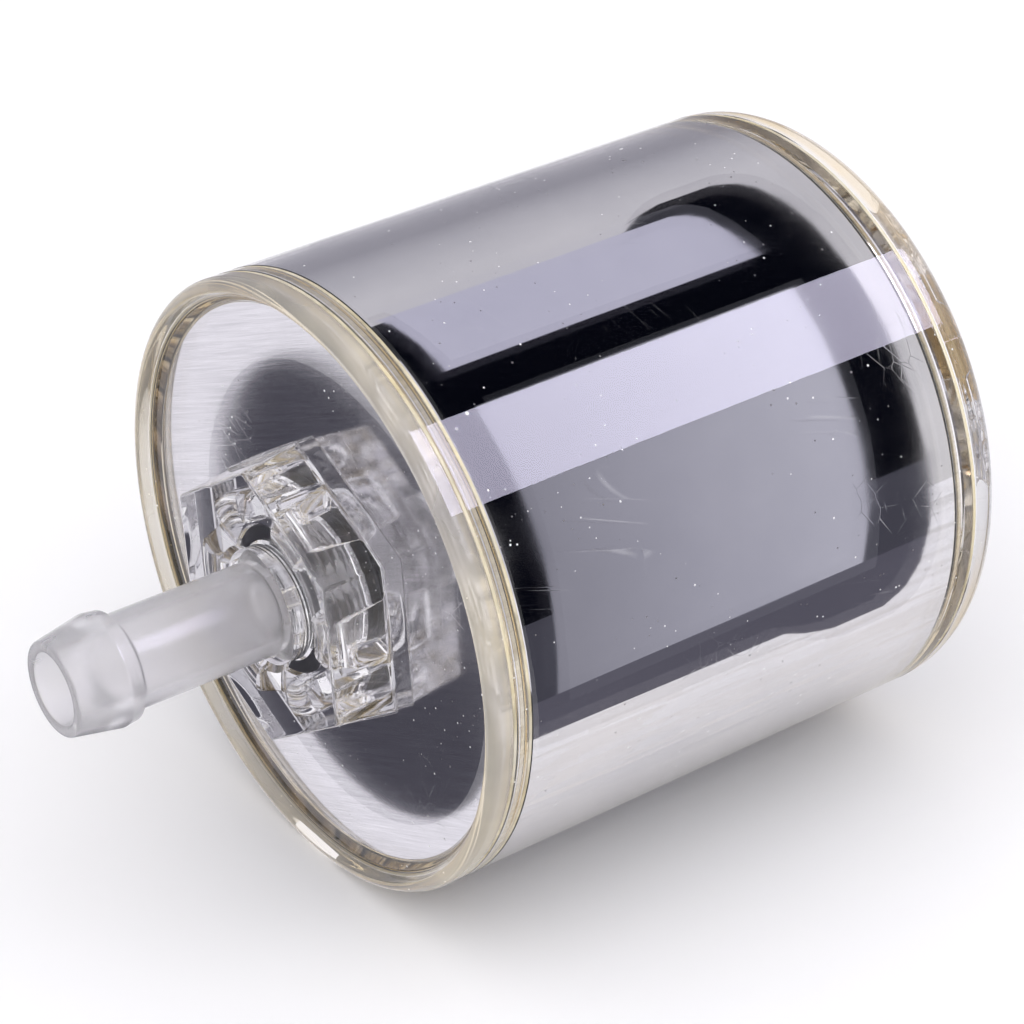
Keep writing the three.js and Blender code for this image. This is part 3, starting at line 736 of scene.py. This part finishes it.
SHELL_OUTLINE = [
    (SHELL_LOW.x, CAN_RADIUS - SHELL_SHEET, 0),
    (SHELL_LOW.x, CAN_RADIUS - SHELL_CHAMFER, 0),
    (SHELL_LOW.x + SHELL_CHAMFER, CAN_RADIUS, 0),
    (SHELL_HIGH.x - SHELL_CHAMFER, CAN_RADIUS, 0),
    (SHELL_HIGH.x, CAN_RADIUS - SHELL_CHAMFER, 0),
    (SHELL_HIGH.x, CAN_RADIUS - SHELL_SHEET, 0),
]
stand_for(turned("polished_shell", SHELL_OUTLINE, [POLISHED]), "canister_shell")


def disc_outline(neck=False):
    """An end disc with its rolled edge and the lip that fits in the shell, at the front end."""
    back = DISC_X + DISC_SHEET
    outline = [(DISC_X, DISC_HOLE, 0)]
    outline += arc(DISC_X + DISC_EDGE, CAN_RADIUS - DISC_EDGE, DISC_EDGE, 180, 90, DISC_EDGE_STEPS)
    outline += [
        (back, CAN_RADIUS, 0),
        (back, LIP_OUTER, 0),
        (DISC_X + LIP_LENGTH, LIP_OUTER, 0),
        (DISC_X + LIP_LENGTH, LIP_OUTER - DISC_SHEET, 0),
        (back, LIP_OUTER - DISC_SHEET, 0),
    ]
    if neck:
        neck_end = REAR_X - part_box("rear_end_disc")[0].x + RIM_X
        outline += [(back, NECK_RADIUS, 0), (neck_end, NECK_RADIUS, 0), (neck_end, DISC_HOLE, 0)]
    else:
        outline += [(back, DISC_HOLE, 0)]
    return outline


stand_for(turned("front_brushed_disc", disc_outline(), [BRUSHED]), "front_end_disc")


def rear_disc_outline():
    """The rear disc sits further in than the front one's mirror image, because the rear plate is thicker."""
    outline = mirrored(disc_outline(neck=True))
    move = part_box("rear_end_disc")[1].x - max(at(x, 0) for x, _, _ in outline)
    return [(at(x, 0) + move, radius, slot) for x, radius, slot in outline]


stand_for(turned("rear_brushed_disc", rear_disc_outline(), [BRUSHED]), "rear_end_disc")

# ---- inlet barb ----

BARB_BORE = 3.2 * MM
BARB_SHANK = 4.15 * MM
BARB_HEAD = 4.97 * MM
BARB_TIP = 4.2 * MM
TIP_INNER_ROUND = 0.25 * MM
TIP_OUTER_ROUND = 0.35 * MM
SHOULDER_X = BARB_LOW.x + 6.1 * MM  # back of the barb's head
HEAD_ROUND = 0.8 * MM
HEAD_BACK = 1.5 * MM                # centre of the head's round, ahead of the shoulder
SHOULDER_ROUND = 0.3 * MM
SHOULDER_BACK = 0.4 * MM            # centre of the shoulder's outer round, ahead of the shoulder
SHOULDER_DROP = 0.45 * MM           # and below the head's radius
JET_RADIUS = 2.2 * MM
JET_DEPTH = 0.5 * MM                # step from the bore to the jet, behind the boss's face
JET_CHAMFER = 0.1 * MM
JET_ROUND = 0.4 * MM
ROOT_X = HEX_TOP + 1.25 * MM        # first full row of the root's thread
ROOT_COLLAR = 0.6 * MM              # the shank ends this far ahead of the thread
ROOT_LEAD = 0.2 * MM                # length of the thread's lead-in and lead-out
ROOT_LEAD_DROP = 0.35 * MM
THREAD_CREST = 4.95 * MM


def barb_outline():
    """The hose barb, from its bore over the tip, head, shank and threaded root back to the jet."""
    tip = BARB_LOW.x
    jet_x = HEX_TOP + JET_DEPTH
    outline = arc(tip + TIP_INNER_ROUND, BARB_BORE + TIP_INNER_ROUND, TIP_INNER_ROUND, 270, 180, 4)
    outline += arc(tip + TIP_OUTER_ROUND, BARB_TIP - TIP_OUTER_ROUND, TIP_OUTER_ROUND, 180, 105, 5)
    outline += arc(SHOULDER_X - HEAD_BACK, BARB_HEAD - HEAD_ROUND, HEAD_ROUND, 105, 70, 6)
    outline += arc(SHOULDER_X - SHOULDER_BACK, BARB_HEAD - SHOULDER_DROP, SHOULDER_ROUND, 80, 0, 5)
    outline += arc(SHOULDER_X + SHOULDER_ROUND, BARB_SHANK + SHOULDER_ROUND, SHOULDER_ROUND, 180, 270, 4)
    outline += [(ROOT_X - ROOT_COLLAR, BARB_SHANK, 0), (ROOT_X - ROOT_LEAD, THREAD_CREST - ROOT_LEAD_DROP, 0)]
    outline += thread_rows(ROOT_X, BARB_HIGH.x - ROOT_LEAD, THREAD_CREST, THREAD_DEPTH)
    outline += [
        (BARB_HIGH.x, THREAD_CREST - THREAD_DEPTH - ROOT_LEAD, 0),
        (BARB_HIGH.x, JET_RADIUS, 0),
        (jet_x + JET_CHAMFER, JET_RADIUS, 0),
        (jet_x, JET_RADIUS + JET_CHAMFER, 0),
    ]
    outline += arc(jet_x - JET_ROUND, BARB_BORE - JET_ROUND, JET_ROUND, 0, 90, 4)
    return outline


nylon_barb = turned("nylon_barb", barb_outline(), [NYLON], even_turns(PORT_STEPS))
stand_for(nylon_barb, "inlet_barb")

# ---- seals and outlet bushing ----

SEAL_ROUND = 0.3 * MM
SEAL_ROUND_STEPS = 5


def seal(name, node):
    """A flat ring with rounded edges."""
    low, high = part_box(node)
    front, back = low.x + SEAL_ROUND, high.x - SEAL_ROUND
    inner = DISC_HOLE + SEAL_ROUND
    outer = (high.y - low.y) / 2 - SEAL_ROUND
    outline = []
    for x, radius, start in ((front, inner, 270), (front, outer, 180), (back, outer, 90), (back, inner, 0)):
        outline += arc(x, radius, SEAL_ROUND, start, start - 90, SEAL_ROUND_STEPS)
    return stand_for(turned(name, outline, [RUBBER], even_turns(SEAL_STEPS)), node)


seal("inlet_flat_seal", "inlet_seal")
seal("outlet_flat_seal", "outlet_seal")

BUSH_FLANGE = 0.6 * MM              # thickness
BUSH_BODY = 5.05 * MM               # radii
BUSH_BORE = 4.1 * MM
BUSH_THREAD_CREST = 4.35 * MM
BUSH_THREAD_DEPTH = 0.4 * MM
BUSH_MOUTH = 0.5 * MM
BUSH_INNER_MOUTH = 0.1 * MM
BUSH_LEAD = 0.2 * MM                # plain stretch between the inner mouth and the thread
BUSH_CHAMFER = 0.3 * MM
BUSH_ROUND = 0.15 * MM


def bushing_outline():
    """Flanged brass bush with a threaded bore."""
    out, low = BUSHING_HIGH.x, BUSHING_LOW.x
    flange = (BUSHING_HIGH.y - BUSHING_LOW.y) / 2
    under = out - BUSH_FLANGE
    outline = [(out, BUSH_BORE + BUSH_MOUTH, 0)]
    outline += arc(out - BUSH_ROUND, flange - BUSH_ROUND, BUSH_ROUND, 0, 90, 4)
    outline += [
        (under, flange, 0),
        (under, BUSH_BODY, 0),
        (low + BUSH_CHAMFER, BUSH_BODY, 0),
        (low, BUSH_BODY - BUSH_CHAMFER, 0),
        (low, BUSH_BORE + BUSH_INNER_MOUTH, 0),
    ]
    outline += thread_rows(low + BUSH_LEAD, under, BUSH_THREAD_CREST, BUSH_THREAD_DEPTH)
    return outline


brass_bush = turned("brass_bush", bushing_outline(), [BRASS], even_turns(PORT_STEPS))
stand_for(brass_bush, "outlet_bushing")

# ---- filter element, carried over from the frame ----

INNER_FINISH = {
    "element_front_cap": ZINC,
    "element_rear_cap": ZINC,
    "element_grommet": RUBBER,
    "front_potting": PLASTISOL,
    "rear_potting": PLASTISOL,
    "filter_media": PAPER,
    "centre_tube": ZINC,
    "spring_seat": ZINC,
    "element_spring": ZINC,
}
for node, material in INNER_FINISH.items():
    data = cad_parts[node].data
    data.materials.clear()
    data.materials.append(material)

# ---- studio ----

CAMERA_OFFSET = Vector((-4.768, -7.590, 6.024))     # from the middle of the inlet rim, in body radii
CAMERA_PLACE = Vector((RIM_X, AXIS_Y, AXIS_HEIGHT)) + CAMERA_OFFSET * BODY_RADIUS
CAMERA_LOOK = Vector((0.49966, 0.67780, -0.53937))  # viewing direction
LENS = 123.6                        # in millimetres, like the sensor
SENSOR = 36
FLOOR_DROP = 0.05 * MM              # floor below the housing
FLOOR_Z = AXIS_HEIGHT - BODY_RADIUS - FLOOR_DROP
FLOOR_REACH = 60 * BODY_RADIUS
CARD_REACH = 6 * BODY_RADIUS        # distance of the reflection cards from the housing's axis
CARD_GAP = 1.5 * MM                 # between one card and the next in front of it
FLOOR_LIFT = 0.06 * MM              # the same for the parts that lie on the floor
CARD_COLUMNS = 12
ROUND_CARD_STEPS = 64


def bent(ray, normal, ratio):
    """The ray after it crosses a surface. ratio is the index it leaves over the index it enters."""
    towards = -ray.dot(normal)
    straight = sqrt(max(0, 1 - ratio ** 2 * (1 - towards ** 2)))
    return ratio * ray + (ratio * towards - straight) * normal


def bounced(ray, normal):
    return ray - 2 * ray.dot(normal) * normal


def onto_cylinder(spot, ray, radius, far):
    """Where the ray meets the cylinder of that radius round the housing's axis, and the normal there."""
    y, z = spot.y - AXIS_Y, spot.z - AXIS_HEIGHT
    a = ray.y ** 2 + ray.z ** 2
    b = y * ray.y + z * ray.z
    root = sqrt(b * b - a * (y * y + z * z - radius ** 2))
    hit = spot + ray * ((-b + root if far else -b - root) / a)
    return hit, Vector((0, hit.y - AXIS_Y, hit.z - AXIS_HEIGHT)).normalized()


def onto_plane(spot, ray, x):
    return spot + ray * ((x - spot.x) / ray.x)


def to_floor(spot, ray, layer):
    return spot + ray * ((FLOOR_Z + layer * FLOOR_LIFT - spot.z) / ray.z)


def to_card(spot, ray, layer):
    """Where a ray ends: on the round of cards, or on the floor if that comes first."""
    hit, _ = onto_cylinder(spot, ray, CARD_REACH - layer * CARD_GAP, True)
    return to_floor(spot, ray, layer) if hit.z < FLOOR_Z + layer * FLOOR_LIFT else hit


def wall_place(along, turn):
    """A point on the housing's outside and the normal there."""
    spot = place(RIM_X + along * BODY_RADIUS, BODY_RADIUS, radians(turn))
    return spot, (spot - place(spot.x, 0, 0)).normalized()


def seen_in_can(along, turn, layer):
    """The card point that the canister mirrors towards the camera at (along, turn), through the wall."""
    spot, outward = wall_place(along, turn)
    ray = bent((spot - CAMERA_PLACE).normalized(), outward, 1 / PLASTIC_IOR)
    spot, outward = onto_cylinder(spot, ray, CAN_RADIUS, False)
    ray = bounced(ray, outward)
    spot, outward = onto_cylinder(spot, ray, BODY_RADIUS, True)
    return to_card(spot, bent(ray, -outward, PLASTIC_IOR), layer)


def seen_in_wall(along, turn, layer):
    """The card point that the outer surface of the clear wall mirrors towards the camera."""
    spot, outward = wall_place(along, turn)
    return to_card(spot, bounced(spot - CAMERA_PLACE, outward), layer)


def seen_in_disc(y, z, layer):
    """The floor point that the front disc mirrors towards the camera, through the end plate.
    y and z are on the plate's face, in body radii from the axis."""
    facing = Vector((-1, 0, 0))
    spot = Vector((PLATE_X, AXIS_Y + y * BODY_RADIUS, AXIS_HEIGHT + z * BODY_RADIUS))
    ray = bent((spot - CAMERA_PLACE).normalized(), facing, 1 / PLASTIC_IOR)
    spot = onto_plane(spot, ray, DISC_X)
    ray = bounced(ray, facing)
    return to_floor(onto_plane(spot, ray, PLATE_X), bent(ray, -facing, PLASTIC_IOR), layer)


def card_finish():
    """Cards glow with the colour stored at their corners."""
    look = Look("card_glow")
    glow = look.node("ShaderNodeVertexColor", layer_name="glow")
    light = look.node("ShaderNodeEmission")
    look.link(glow.outputs["Color"], light.inputs["Color"])
    look.link(light.outputs[0], look.out.inputs["Surface"])
    look.material.cycles.emission_sampling = "NONE"
    return look.material


CARD_GLOW = card_finish()


def eased(where, stops):
    """A value or colour between the nearest stops, which are (place, value) in rising order."""
    if where <= stops[0][0]:
        return stops[0][1]
    for (here, low), (there, high) in zip(stops, stops[1:]):
        if where <= there:
            part = (where - here) / (there - here)
            if isinstance(low, tuple):
                return tuple(a + (b - a) * part for a, b in zip(low, high))
            return low + (high - low) * part
    return stops[-1][1]


def paint_card(name, mesh, glows, transmission=True):
    """Finishes a card. Its glow is stored for each vertex. It shows only in reflections, and through clear
    parts where transmission is on."""
    card = finished(name, mesh, [CARD_GLOW])
    colours = card.data.color_attributes.new("glow", "FLOAT_COLOR", "POINT")
    for spot, glow in zip(colours.data, glows):
        spot.color = (*glow, 1)
    card.visible_camera = False
    card.visible_diffuse = False
    card.visible_shadow = False
    card.visible_volume_scatter = False
    card.visible_transmission = transmission


def image_card(name, seen, turns, left, right, glow, layer, transmission=True):
    """A card laid out by its image on the housing, which spans left to right, in body radii from the rim,
    over the turns given. left and right are numbers or stops over the turn. glow(turn, along) is its colour.
    Rows lie at whole degrees, so that cards on different layers bend at the same places."""
    mesh = bmesh.new()
    first, last = turns
    glows = []
    previous = None
    for turn in [first, *range(floor(first) + 1, ceil(last)), last]:
        start, end = (eased(turn, side) if isinstance(side, tuple) else side for side in (left, right))
        row = []
        for k in range(CARD_COLUMNS + 1):
            along = start + (end - start) * k / CARD_COLUMNS
            row.append(mesh.verts.new(seen(along, turn, layer)))
            glows.append(glow(turn, along))
        if previous:
            for k in range(CARD_COLUMNS):
                mesh.faces.new((previous[k], previous[k + 1], row[k + 1], row[k]))
        previous = row
    paint_card(name, mesh, glows, transmission)


def flat_card(name, points, glow):
    mesh = bmesh.new()
    mesh.faces.new([mesh.verts.new(p) for p in points])
    paint_card(name, mesh, [glow] * len(points))


BLACK = (0.002, 0.0024, 0.005)
DEEP_GREY = (0.066, 0.066, 0.085)
MID_GREY = (0.112, 0.109, 0.14)
HIGH_PANE = (0.56, 0.555, 0.68)
LOW_PANE = ((0.3, (0.29, 0.29, 0.34)), (0.85, (0.42, 0.42, 0.49)), (1.45, (0.53, 0.53, 0.61)))
STRIP_GLOW = (8.5, 8.1, 10.4)

# What the room shows round the cards, by the turn of its image on the canister.
SURROUND = (
    (-60.0, (0.92, 0.92, 0.94)), (-32.0, (0.72, 0.71, 0.74)), (-20.0, (0.46, 0.455, 0.50)),
    (-10.0, (0.33, 0.325, 0.37)), (-3.0, (0.50, 0.495, 0.54)), (6.0, (0.64, 0.63, 0.67)),
    (20.0, (0.62, 0.61, 0.64)), (60.0, (0.76, 0.75, 0.77)), (84.0, (0.80, 0.785, 0.785)),
    (98.0, (0.86, 0.83, 0.83)), (116.0, (0.83, 0.80, 0.785)), (128.0, (0.76, 0.735, 0.715)),
)


def surround(turn, along):
    return eased(turn, SURROUND)


def one_glow(colour):
    return lambda turn, along: colour


def low_pane(turn, along):
    return eased(along, LOW_PANE)


# Where the cards' images lie: turns in degrees from straight up, edges as (turn, body radii from the rim).
SURROUND_TURNS = (-60, 128)
SURROUND_SPAN = (-0.6, 3.2)
FRAME_LEFT = 0.145
FRAME_LEFT_TOP = ((7.0, 1.30), (8.2, 1.20), (11.0, 1.11), (11.4, FRAME_LEFT))
FRAME_LEFT_BOTTOM = ((92.5, FRAME_LEFT), (93.0, 1.12), (95.5, 1.23), (96.7, 1.33))
FRAME_RIGHT = (
    (7.0, 1.50), (8.5, 1.58), (11.5, 1.63), (16.5, 1.665), (23.0, 1.69), (35.0, 1.71),
    (76.0, 1.71), (83.0, 1.70), (90.0, 1.665), (94.5, 1.61), (96.7, 1.53),
)
FRAME_TURNS = (7.0, 70.7)           # black part of the frame
FRAME_GREY_TURNS = (70.7, 85)
FRAME_FOOT_TURNS = (85, 96.7)
HIGH_PANE_TURNS = (11.0, 25.7)
HIGH_PANE_LEFT = ((11.0, 0.19), (13.0, 0.22), (19.0, 0.252), (25.7, 0.27))
HIGH_PANE_RIGHT = ((11.0, 1.29), (12.0, 1.34), (14.0, 1.38), (19.0, 1.415), (25.7, 1.447))
LOW_PANE_TURNS = (33.5, 85.0)
LOW_PANE_LEFT = ((33.5, 0.29), (50.0, 0.297), (62.0, 0.293), (73.0, 0.277), (85.0, 0.257))
LOW_PANE_RIGHT = ((33.5, 1.482), (43.0, 1.49), (60.0, 1.487), (75.0, 1.465), (85.2, 1.427))
STRIP_TURNS = (33.75, 49.25)
STRIP_SPAN = (-0.6, 2.6)

# name, turns, left edge, right edge, glow, layer
CAN_CARDS = (
    ("surround_card", SURROUND_TURNS, *SURROUND_SPAN, surround, 0),
    ("frame_card", FRAME_TURNS, FRAME_LEFT_TOP, FRAME_RIGHT, one_glow(BLACK), 1),
    ("frame_low_card", FRAME_GREY_TURNS, FRAME_LEFT, FRAME_RIGHT, one_glow(DEEP_GREY), 1),
    ("frame_foot_card", FRAME_FOOT_TURNS, FRAME_LEFT_BOTTOM, FRAME_RIGHT, one_glow(MID_GREY), 1),
    ("high_pane_card", HIGH_PANE_TURNS, HIGH_PANE_LEFT, HIGH_PANE_RIGHT, one_glow(HIGH_PANE), 2),
    ("low_pane_card", LOW_PANE_TURNS, LOW_PANE_LEFT, LOW_PANE_RIGHT, low_pane, 2),
)
for name, *layout in CAN_CARDS:
    image_card(name, seen_in_can, *layout)
image_card("strip_card", seen_in_wall, STRIP_TURNS, *STRIP_SPAN, one_glow(STRIP_GLOW), 4, transmission=False)

# The round cards' images on the end plate: the centre's Y and Z and the radius, in body radii.
FRONT_CENTRE = (0, 0)
FRONT_RADIUS = 1.4
DARK_CENTRE = (-0.24, 0.125)
DARK_RADIUS = 0.74
LOWEST_IMAGE = -0.93                # images stop here, just above the floor's height
DARK_GLOW = (0.085, 0.083, 0.105)
FRONT_GLOW = (1.02, 1.0, 1.06)


def disc_card(name, centre, radius, glow, layer):
    """A card on the floor whose image on the front disc is round."""
    points = []
    for t in even_turns(ROUND_CARD_STEPS):
        y = centre[0] + radius * cos(t)
        z = max(centre[1] + radius * sin(t), LOWEST_IMAGE)
        points.append(seen_in_disc(y, z, layer))
    flat_card(name, points, glow)


disc_card("front_card", FRONT_CENTRE, FRONT_RADIUS, FRONT_GLOW, 4)
disc_card("dark_round_card", DARK_CENTRE, DARK_RADIUS, DARK_GLOW, 5)


def studio_floor():
    mesh = bmesh.new()
    corners = [(-1, -1), (1, -1), (1, 1), (-1, 1)]
    mesh.faces.new([mesh.verts.new((x * FLOOR_REACH, y * FLOOR_REACH, FLOOR_Z)) for x, y in corners])
    look = Look("pale_floor", Roughness=0.85)
    mottle = look.noise(30, 3.0)
    look.drive("Base Color", look.blend(mottle, (0.93, 0.93, 0.93), (0.95, 0.945, 0.94)))
    look.bump(look.noise(400, 3.0), 0.05 * MM, 0.1)
    finished("studio_floor", mesh, [look.material])


studio_floor()


def soft_light(name, azimuth, elevation, distance, size, energy, colour):
    """A round lamp aimed at the middle of the housing. azimuth and elevation are in degrees."""
    light = bpy.data.lights.new(name, "AREA")
    light.shape = "DISK"
    light.size = size
    light.energy = energy
    light.color = colour
    lamp = bpy.data.objects.new(name, light)
    a, e = radians(azimuth), radians(elevation)
    centre = Vector(((RIM_X + REAR_X) / 2, AXIS_Y, AXIS_HEIGHT))
    back = Vector((sin(a) * cos(e), -cos(a) * cos(e), sin(e)))
    lamp.location = centre + back * distance
    lamp.rotation_mode = "QUATERNION"
    lamp.rotation_quaternion = (-back).to_track_quat("-Z", "Y")
    lamp.visible_glossy = False
    lamp.visible_transmission = False
    bpy.context.scene.collection.objects.link(lamp)


soft_light(
    "key_light", azimuth=300, elevation=62, distance=0.9, size=1.3, energy=4.6, colour=(1.0, 0.99, 0.97)
)
soft_light(
    "fill_light", azimuth=40, elevation=48, distance=1.0, size=1.2, energy=2.0, colour=(0.96, 0.97, 1.0)
)


def studio_world():
    world = bpy.data.worlds.new("studio")
    bpy.context.scene.world = world
    world.use_nodes = True
    background = world.node_tree.nodes["Background"]
    background.inputs["Color"].default_value = (0.95, 0.94, 1.0, 1)
    background.inputs["Strength"].default_value = 0.8


studio_world()


def photographer():
    data = bpy.data.cameras.new("camera")
    data.lens = LENS
    data.sensor_width = SENSOR
    camera = bpy.data.objects.new("camera", data)
    bpy.context.scene.collection.objects.link(camera)
    camera.location = CAMERA_PLACE
    camera.rotation_mode = "QUATERNION"
    camera.rotation_quaternion = CAMERA_LOOK.to_track_quat("-Z", "Y")
    bpy.context.scene.camera = camera


photographer()

scene = bpy.context.scene
scene.view_settings.view_transform = "Standard"
scene.cycles.max_bounces = 32
scene.cycles.glossy_bounces = 16
scene.cycles.transmission_bounces = 24
scene.cycles.transparent_max_bounces = 32
scene.cycles.sample_clamp_indirect = 8
